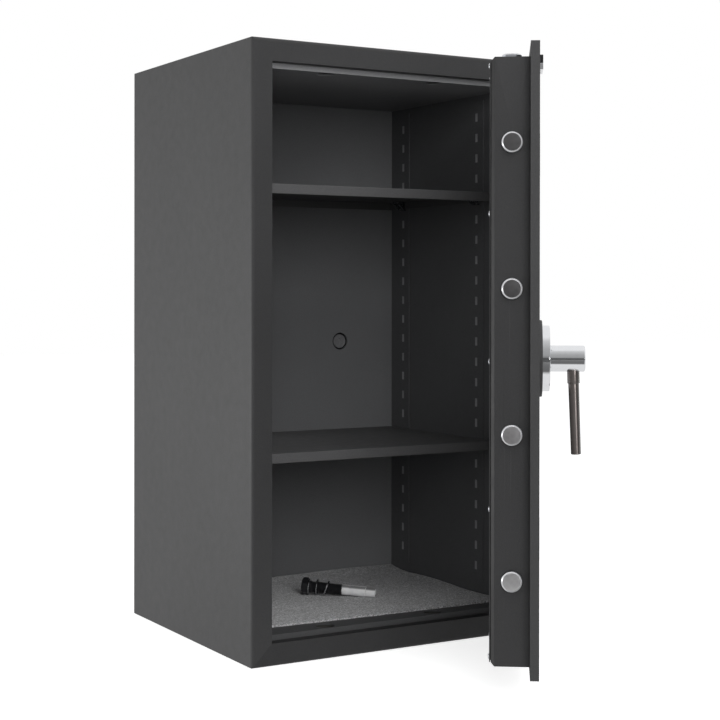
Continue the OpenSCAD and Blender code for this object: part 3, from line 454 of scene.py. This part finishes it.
def turned(profile, base, axis, ring=False, n=72, first=0):
    """Points and faces of a surface turned about axis at base: each point of the profile
    goes round the axis in n steps at its radius. The profile runs from one end round the
    outside to the other, in metres; a ring's profile closes on itself."""
    axis = np.array(axis, float) / np.linalg.norm(axis)
    side = np.cross(axis, (0, 0, 1) if abs(axis[2]) < 0.9 else (1, 0, 0))
    side /= np.linalg.norm(side)
    third = np.cross(axis, side)
    angle = np.arange(n) * 2 * math.pi / n
    round_about = np.cos(angle)[:, None] * side + np.sin(angle)[:, None] * third
    points, starts = [], []
    for r, t in profile:
        starts.append((first + len(points), r > 1e-9))
        if r > 1e-9:
            points += list(np.asarray(base) + t * axis + r * round_about)
        else:
            points.append(np.asarray(base) + t * axis)
    faces = []
    ends = starts[1:] + ([starts[0]] if ring else [])
    for (i, wide), (k, wide_next) in zip(starts, ends):
        if wide and wide_next:
            faces += belt(i, k, n)
        elif wide_next:
            faces += fan(k, i, n, before=True)
        elif wide:
            faces += fan(i, k, n)
    return np.array(points), faces


def turned_set(profile, bases, axis, **settings):
    """The points and faces of one turned surface at each base."""
    points, faces = [], []
    for base in bases:
        p, f = turned(profile, base, axis, first=sum(len(v) for v in points), **settings)
        points.append(p)
        faces += f
    return np.vstack(points), faces


# The door stands open about its hinge, so what is on it is worked out as it lies when
# closed and then turned with it.
swing = math.radians(54.15)
cabinet_corner = np.array((-0.2275, -0.195, 0.0))
hinge = np.array((0.4435, -0.0055)) + cabinet_corner[:2]
outwards = np.array((math.sin(swing), -math.cos(swing), 0.0))
to_lock = np.array((-math.cos(swing), -math.sin(swing), 0.0))


def open_door(x, y, z):
    """A point of the closed door, in mm from the cabinet's front left foot, at its place on
    the open door in metres: turned about the hinge by the swing."""
    p = np.array((x, y)) / 1000 + cabinet_corner[:2] - hinge
    c, s = math.cos(swing), math.sin(swing)
    return np.array((hinge[0] + c * p[0] - s * p[1], hinge[1] + s * p[0] + c * p[1], z / 1000))


# BOLTS
# Chrome-plated round bars. The bright turned chamfer stands out as a ring round a flat
# ground face, and the faces are ground to different lustres.
bolt_r, bolt_l, face_r = 0.012, 0.055, 0.0103
bolt_profile = [(0, -bolt_l), (bolt_r, -bolt_l)] + rounded(
    [(bolt_r, -0.03, 0), (bolt_r, -0.0015, 0.0004), (face_r, 0, 0.0003), (0, 0, 0)], 3)
works_z, side_pitch = 396.75, 168.6
bolt_y, side_tip_x, upright_xs, top_tip_z, bottom_tip_z = 31.5, 42, (124, 294), 762.25, 39.75
bolt_place = (0, -0.4, 0.4)
bolt_steel = metal("turned_bolt_chrome", (0.66, 0.68, 0.72), 0.10, bolt_place, 0.000004, 0.04)
bolt_rim = metal("turned_rim", (0.62, 0.625, 0.64), 0.30, bolt_place, 0.000004, 0.04)
metallic(bolt_rim, 0.25)
bolt_faces = [metal("ground_face_%d" % k, (v, v * 0.98, v), 0.38, bolt_place, 0.000008, 0.10)
              for k, v in enumerate((0.95, 0.80, 0.29, 0.27))]


def bolt_set(name, node, body, tips, axis):
    """One piece with a turned bolt for each tip, its chamfer and its face in their metals."""
    points, faces = turned_set(bolt_profile, tips, axis)
    piece = placed(name, points, faces, bolt_steel, body, node)
    for material in [bolt_rim] + bolt_faces:
        piece.data.materials.append(material)
    per_tip = len(faces) // len(tips)
    for face in piece.data.polygons:
        facing = face.normal.dot(Vector(axis))
        if facing > 0.97:
            face.material_index = 2 + face.index // per_tip
        elif facing > 0.2:
            face.material_index = 1


side_zs = [works_z + (k - 1.5) * side_pitch for k in range(4)]
bolt_set("bolts_side", "side_bolts", "side_bolt_carriage",
         [open_door(side_tip_x, bolt_y, z) for z in side_zs], to_lock)
bolt_set("bolts_top", "top_bolts", "top_bolt_carriage",
         [open_door(x, bolt_y, top_tip_z) for x in upright_xs], (0, 0, 1))
bolt_set("bolts_bottom", "bottom_bolts", "bottom_bolt_carriage",
         [open_door(x, bolt_y, bottom_tip_z) for x in upright_xs], (0, 0, -1))

# HANDLE
# A painted base disc, a polished rose on it, a thick polished hub with a small bevel, and a
# slim lever in lacquered dark chrome that leaves the hub through a short collar and ends
# flat. A bright line down the lever's front is painted highlight, and its right side is
# painted darker as painted shade.
axle = open_door(145, 0, works_z)
bore_r, disc_r, disc_t, rose_r, rose_t = 0.0065, 0.0465, 0.0055, 0.04, 0.0146
hub_r, hub_from, hub_to = 0.016, 0.0149, 0.0573
lever_reach, lever_from, lever_to, root_r, end_r = 0.0426, 0.0125, 0.116, 0.0066, 0.0061
collar_in, collar_r, collar_to = 0.00662, 0.0075, 0.030
dark_chrome = metal("lever_chrome", (0.175, 0.153, 0.146), 0.18, (0.1, -0.4, 0.3), 0.000004,
                    stretch=(1, 1, 0.08), scale=1400)
feed(dark_chrome.node_tree.nodes["Principled BSDF"], {
    "Metallic": 0.40, "Coat Weight": 1.0, "Coat Roughness": 0.05, "Coat IOR": 1.65})
# Painted highlight: a bright line where the lever's front faces the camera.
painted_light_ramp(dark_chrome, "Normal", (-0.411, -0.911, 0), 0.989, 0.998, 3.6)
# Painted shade: the lever's right side is painted darker.
painted_light_ramp(dark_chrome, "Normal", (0.779, -0.626, 0), 0.38, 0.50, 0.42)
disc = rounded([(bore_r, 0, 0), (disc_r, 0, 0), (disc_r, disc_t, 0.0012), (bore_r, disc_t, 0)])
p, f = turned(disc, axle, outwards, ring=True, n=128)
placed("handle_disc", p, f, plate_coat, "door", "handle_base_disc")
rose = rounded([(bore_r, disc_t, 0), (rose_r, disc_t, 0), (rose_r, rose_t, 0.0013),
                (bore_r, rose_t, 0)], 5)
p, f = turned(rose, axle, outwards, ring=True, n=128)
placed("handle_rose_turned", p, f, chrome, "door", "handle_rose")
hub = rounded([(0, hub_from, 0), (hub_r - 0.0008, hub_from, 0.0002),
               (hub_r, hub_from + 0.0008, 0.0003), (hub_r, hub_to - 0.0014, 0.0004),
               (hub_r - 0.0014, hub_to, 0.0004), (0, hub_to, 0)])
p, f = turned(hub, axle, outwards, n=128)
placed("handle_hub_turned", p, f, chrome, "handle", "handle_hub")
lean = math.radians(2)
down = np.array((outwards[0] * math.sin(lean), outwards[1] * math.sin(lean), -math.cos(lean)))
root = axle + outwards * lever_reach
lever = rounded([(0, lever_from, 0), (root_r, lever_from, 0), (end_r, lever_to, 0.0012),
                 (0, lever_to, 0)], 5)
p, f = turned(lever, root, down, n=96)
placed("lever_rod", p, f, dark_chrome, "handle", "handle_lever")
collar = rounded([(collar_in, lever_from, 0), (collar_r, lever_from, 0),
                  (collar_r, collar_to, 0.0005), (collar_in, collar_to, 0)], 3)
p, f = turned(collar, root, down, ring=True, n=96)
placed("lever_collar_turned", p, f, dark_chrome, "handle", "lever_collar")

# COVER SCREWS
# Domed zinc screws round the edge of the rear cover, each with a small round recess.
cover_x, cover_w, cover_y, cover_z, cover_h, inset = 47.5, 360, 57.25, 45.25, 703.0, 9.5
screw_r, dome_h, shank_r, shank_l = 0.0035, 0.0016, 0.0022, 0.004
xs = [cover_x + inset + k * (cover_w - 2 * inset) / 3 for k in range(4)]
zs = [cover_z + inset + k * (cover_h - 2 * inset) / 4 for k in range(5)]
spots = [(x, z) for x in xs for z in (zs[0], zs[4])]
spots += [(x, z) for x in (xs[0], xs[3]) for z in zs[1:4]]
dome = [(screw_r * math.cos(a), dome_h * math.sin(a)) for a in np.radians(np.arange(0, 66, 8))]
screw = [(0, -shank_l), (shank_r, -shank_l), (shank_r, 0), (screw_r, 0)] + dome[1:] + [
    (0.0013, 0.00145), (0.0011, 0.0008), (0, 0.0007)]
points, faces = turned_set(screw, [open_door(x, cover_y, z) for x, z in spots], -outwards, n=24)
placed("cover_screw_heads", points, faces, zinc, "door", "cover_screws", 50)

# ANCHOR PLUGS
# Grey plastic plugs in the two bores of the back wall: a raised rim round a dished middle
# with a round dimple. The rim's outer part is painted black as painted shade, for the
# shadow in the bore round the plug.
plug_x, plug_y, plug_z, plug_r, plug_t, rim_r = 0.0965, 0.343, 0.4, 0.013, 0.004, 0.0108
plug_plastic = dull("plug_plastic", (0.215, 0.215, 0.222), 0.38, (0, 0, 0.4), 600, 0.00004)
plug = rounded([(0, plug_t, 0), (plug_r, plug_t, 0), (plug_r, 0.0, 0.0008), (0.0105, 0.0, 0.0005),
                (0.0085, 0.0016, 0.0004), (0.0045, 0.0016, 0.0003), (0.004, 0.0032, 0.0002),
                (0, 0.0032, 0)], 3)
bases = [np.array((x, plug_y + cabinet_corner[1], plug_z)) for x in (-plug_x, plug_x)]
points, faces = turned_set([(r, -t) for r, t in plug], bases, (0, -1, 0), n=48)
plugs = placed("bore_plugs", points, faces, plug_plastic, "cabinet", "anchor_plugs")
plugs.data.materials.append(black_plastic)
# Painted shade: faces beyond rim_r from the axis take the black plastic.
for face in plugs.data.polygons:
    if math.hypot(abs(face.center.x) - plug_x, face.center.z - plug_z) > rim_r:
        face.material_index = 1

# LOOSE ANCHOR
# A heavy anchor bolt lies on the mat: black hexagon head and thick cut thread, three zinc
# washers of which the outer one leans, a bright slit sleeve, and the cone nut at its end.
head_af, head_h, thread_r, core_r = 0.022, 0.009, 0.008, 0.005
anchor_l, sleeve_r, cone_l, washer_r, washer_t = 0.098, 0.00725, 0.0137, 0.011, 0.002
sleeve_x0, sleeve_x1 = anchor_l - 0.0485, anchor_l - cone_l - 0.0003
washer_xs, washer_leans = (0.0003, 0.012, 0.026), (0, 0, 15)
mat_top, play = 0.0385, 0.0003
slope = (washer_r - sleeve_r) / (sleeve_x1 - washer_xs[2] - washer_t)
head_z = mat_top + play + washer_r + slope * (washer_xs[2] + washer_t)
head = np.array((0.1955, 0.2075, head_z)) + cabinet_corner
heading, fall = math.radians(-40), math.asin(slope)
along = np.array((math.cos(heading) * math.cos(fall), math.sin(heading) * math.cos(fall),
                  -math.sin(fall)))
flat_side = np.array((-math.sin(heading), math.cos(heading), 0.0))
over = np.cross(along, flat_side)
black_steel = dull("phosphated_steel", (0.016, 0.016, 0.018), 0.36, (0, 0, 0.04), 900, 0.00003)
bright_zinc = metal("bright_zinc", (0.96, 0.965, 0.98), 0.32, (0, 0, 0.05), 0.00001, 0.05)
metallic(bright_zinc, 0.05)
# Painted shade: the upper side of the sleeve and of the cone nut is painted darker.
painted_light_ramp(bright_zinc, "Normal", (0, 0, 1), 0.50, 0.72, 0.28)
washer_zinc = metal("washer_zinc", (0.62, 0.625, 0.64), 0.24, (0, 0, 0.05), 0.00001)


def anchor_point(x, r, a):
    """A point at distance x along the anchor, r off its axis, at angle a from its level side."""
    return head + x * along + r * (math.cos(a) * flat_side + math.sin(a) * over)


# The thread is a helix: the depth cut at a point follows the distance along the bolt, less
# the share of a turn round it, within one pitch.
n_round, n_along, pitch_t, depth_t, tip_gap = 36, 448, 0.0020, 0.0010, 0.0015
t = np.linspace(0, anchor_l - tip_gap, n_along)
a = np.arange(n_round) * 2 * math.pi / n_round
phase = (t[:, None] / pitch_t - a[None, :] / (2 * math.pi)) % 1.0
crest = np.clip(np.abs(phase - 0.5) * 2.4 - 0.2, 0, 1)
thread_start = np.clip((t - 0.004) / 0.002, 0, 1)[:, None]
bar = np.where(t < sleeve_x0 - 0.0005, thread_r, core_r)[:, None]
radius = bar - depth_t * (1 - crest) * thread_start
spin = np.cos(a)[:, None] * flat_side + np.sin(a)[:, None] * over
grid = head + t[:, None, None] * along + radius[:, :, None] * spin[None, :, :]
points = list(grid.reshape(-1, 3)) + [head, head + anchor_l * along]
faces = [quad for i in range(n_along - 1) for quad in belt(i * n_round, (i + 1) * n_round, n_round)]
faces += fan(0, len(points) - 2, n_round, before=True)
faces += fan((n_along - 1) * n_round, len(points) - 1, n_round)

# The head is a hexagon whose corners are turned off towards both ends: each ring takes the
# smaller of the hexagon's radius at that angle and the ring's limit.
n_head, flat_r = 72, head_af / 2
head_start = len(points)
head_rings = ((-head_h, flat_r - 0.0008), (-head_h + 0.0014, flat_r + 0.0016), (-0.0006, 0.02),
              (0.0, flat_r + 0.0004))
for x, limit in head_rings:
    for j in range(n_head):
        b = 2 * math.pi * j / n_head
        edge = flat_r / math.cos((b + math.pi / 6) % (math.pi / 3) - math.pi / 6)
        points.append(anchor_point(x, min(edge, limit), b))
points += [anchor_point(-head_h, 0, 0), anchor_point(0, 0, 0)]
for i in range(3):
    faces += belt(head_start + i * n_head, head_start + (i + 1) * n_head, n_head)
faces += fan(head_start, len(points) - 2, n_head, before=True)
faces += fan(head_start + 3 * n_head, len(points) - 1, n_head)
placed("anchor_bolt_threaded", points, faces, black_steel, "cabinet", "anchor_bolt",
       32)

washer_in = thread_r + 0.0008
washer = rounded([(washer_in, 0, 0), (washer_r, 0, 0.0004), (washer_r, washer_t, 0.0004),
                  (washer_in, washer_t, 0)], 3)
points, faces = [], []
for x, lean in zip(washer_xs, washer_leans):
    w = math.radians(lean)
    p, f = turned(washer, head + x * along, along * math.cos(w) - over * math.sin(w), ring=True,
                  n=56, first=sum(len(v) for v in points))
    points.append(p)
    faces += f
placed("anchor_washer_set", np.vstack(points), faces, washer_zinc, "cabinet",
       "anchor_washers")

# The sleeve is a rolled sheet with a slit along its top and a waist near its start. Its
# profile goes round the axis from one side of the slit to the other, and two faces close it.
half_slit, n_sleeve = 0.124, 60
sleeve_in, waist_r = core_r + 0.0004, sleeve_r - 0.0005
shape = rounded([(sleeve_in, sleeve_x0, 0), (sleeve_r, sleeve_x0, 0.0005),
                 (sleeve_r, sleeve_x0 + 0.009, 0), (waist_r, sleeve_x0 + 0.0105, 0),
                 (waist_r, sleeve_x0 + 0.0125, 0), (sleeve_r, sleeve_x0 + 0.014, 0),
                 (sleeve_r, sleeve_x1, 0.0005), (sleeve_in, sleeve_x1, 0)], 3)
spans = [math.pi / 2 + half_slit + (2 * math.pi - 2 * half_slit) * k / n_sleeve
         for k in range(n_sleeve + 1)]
points = [anchor_point(x, r, b) for r, x in shape for b in spans]
faces = []
count, row = len(shape), n_sleeve + 1
for i in range(count):
    k = (i + 1) % count
    faces += [(i * row + j, i * row + j + 1, k * row + j + 1, k * row + j) for j in range(n_sleeve)]
faces.append(tuple(i * row for i in range(count)))
faces.append(tuple(i * row + n_sleeve for i in reversed(range(count))))
placed("anchor_sleeve_slit", points, faces, bright_zinc, "cabinet", "anchor_sleeve")

cone_in, cone_x = core_r + 0.00002, anchor_l - cone_l
cone = rounded([(cone_in, cone_x, 0), (sleeve_r - 0.0003, cone_x, 0.0003),
                (sleeve_r - 0.0012, anchor_l, 0.0006), (cone_in, anchor_l, 0)], 3)
p, f = turned(cone, head, along, ring=True, n=60)
placed("anchor_cone_nut", p, f, bright_zinc, "cabinet", "anchor_cone")

# SLOT BACKS
# Each slot of the strips is closed by a pale, slightly dished plate that is painted highlight:
# it stands in for light caught by the slots' punched edges, so the slots read as short light bars.
slot_highlight_paint = dull("painted_slot_highlight", (0.40, 0.405, 0.415), 0.6, (0, 0, 0.4), 420, 0.00003)
top_slot_z, slot_pitch, n_slots, under_clips = 0.7315, 0.0297, 23, (4, 16)
front_y, rear_y, left_x, right_x = 0.1045, 0.3045, 0.036, 0.419
slot_rings = ((0.00005, 0.00268, 0.0059), (0.00135, 0.00268, 0.0059), (0.00115, 0.0021, 0.0053))
for name, x, y, inward in (("slots_left_front", left_x, front_y, 1),
                           ("slots_left_rear", left_x, rear_y, 1),
                           ("slots_right_front", right_x, front_y, -1),
                           ("slots_right_rear", right_x, rear_y, -1)):
    points, faces = [], []
    for k in range(n_slots):
        if k in under_clips:
            continue
        start, z = len(points), top_slot_z - slot_pitch * k
        for deep, half_w, half_h in slot_rings:
            for sy, sz in ((-1, -1), (1, -1), (1, 1), (-1, 1)):
                corner = (x + inward * deep, y + sy * half_w, z + sz * half_h)
                points.append(cabinet_corner + corner)
        order = (0, 1, 2, 3) if inward > 0 else (3, 2, 1, 0)
        for i in (start, start + 4):
            for j in range(4):
                a0, a1 = order[j], order[(j + 1) % 4]
                faces.append((i + a0, i + a1, i + 4 + a1, i + 4 + a0))
        faces.append(tuple(start + 8 + v for v in order))
        faces.append(tuple(start + v for v in reversed(order)))
    placed(name, points, faces, slot_highlight_paint, "cabinet", None)

# FLOOR MAT
# A needled grey felt cut a little out of square: its front edge runs aslant, its back edge
# curls up against the back wall, and it lies in very shallow waves.
felt, nt, shader = new_material("needled_felt", {
    "Roughness": 0.95, "Specular IOR Level": 0.15, "Sheen Weight": 0.25, "Sheen Roughness": 0.5})
point = centred(nt, (0, 0, mat_top))
tufts = noise(nt, point, 430, 5, 1.6)
flecks = grey_ramp(nt, tufts, ((0.30, 0.10), (0.45, 0.34), (0.56, 0.60), (0.72, 1.0)), blue=1.02)
patches = grey_ramp(nt, noise(nt, point, 45, 4), ((0.0, 0.78), (1.0, 1.2)))
feed(shader, {
    "Base Color": mix_colors(nt, 1, flecks, patches, "MULTIPLY"),
    "Normal": bump(nt, noise(nt, point, 1900, 2, 0.4), 0.0003, 0.7, bump(nt, tufts, 0.0006, 0.9))})

# The felt is a grid over its width and depth. Its height is a sum of a curl that grows with
# a power of the distance past a line, the same at the right side, and a product of sines;
# its top thins out towards the rim with the root of the distance from it.
nx, ny, thick = 150, 120, 0.0025
mat_x0, mat_x1, mat_y1, mat_z = 0.0372, 0.4178, 0.3402, 0.03605
u, v = np.linspace(0, 1, nx), np.linspace(0, 1, ny)
x = mat_x0 + u[None, :] * (mat_x1 - mat_x0)
front = np.interp(x, [0.037, 0.062, 0.158, 0.251, 0.350, 0.388, 0.418],
                  [0.056, 0.055, 0.051, 0.048, 0.046, 0.0455, 0.045])
front = front + 0.0005 * np.sin(x * 140) + 0.0003 * np.sin(x * 610 + 1)
y = front + v[:, None] * (mat_y1 - front)
rise = 0.0058 * np.clip((y - 0.278) / 0.062, 0, 1) ** 2.2 * (0.9 + 0.15 * np.sin(x * 23))
side_rise = 0.0022 * np.clip((x - 0.385) / 0.033, 0, 1) ** 2 * (0.6 + 0.5 * np.sin(y * 31 + 1))
waves = 0.00035 * (1 + np.sin(x * 41 + 2) * np.sin(y * 37)) * np.clip((y - front) / 0.03, 0, 1)
under = mat_z + np.maximum(rise, 0) + np.maximum(side_rise, 0) + waves * 0.5
rim = np.minimum(np.minimum(u, 1 - u)[None, :] * 380, np.minimum(v, 1 - v)[:, None] * 290) / 1.6
crown = thick * (0.82 + 0.18 * np.sqrt(np.clip(rim, 0, 1)))
top = np.stack([x + 0 * y, y, under + crown], -1) + cabinet_corner
low = np.stack([x + 0 * y, y, under], -1) + cabinet_corner
points = np.vstack([top.reshape(-1, 3), low.reshape(-1, 3)])
size = nx * ny
faces = []
for i in range(ny - 1):
    for j in range(nx - 1):
        q = i * nx + j
        faces.append((q, q + 1, q + nx + 1, q + nx))
        faces.append((size + q, size + q + nx, size + q + nx + 1, size + q + 1))
for j in range(nx - 1):
    faces.append((size + j, size + j + 1, j + 1, j))
    q = (ny - 1) * nx + j
    faces.append((q, q + 1, size + q + 1, size + q))
for i in range(ny - 1):
    q = i * nx
    faces.append((q, q + nx, size + q + nx, size + q))
    q = i * nx + nx - 1
    faces.append((size + q, size + q + nx, q + nx, q))
mat = placed("felt_mat", points, faces, felt, "cabinet", "floor_mat", 60)
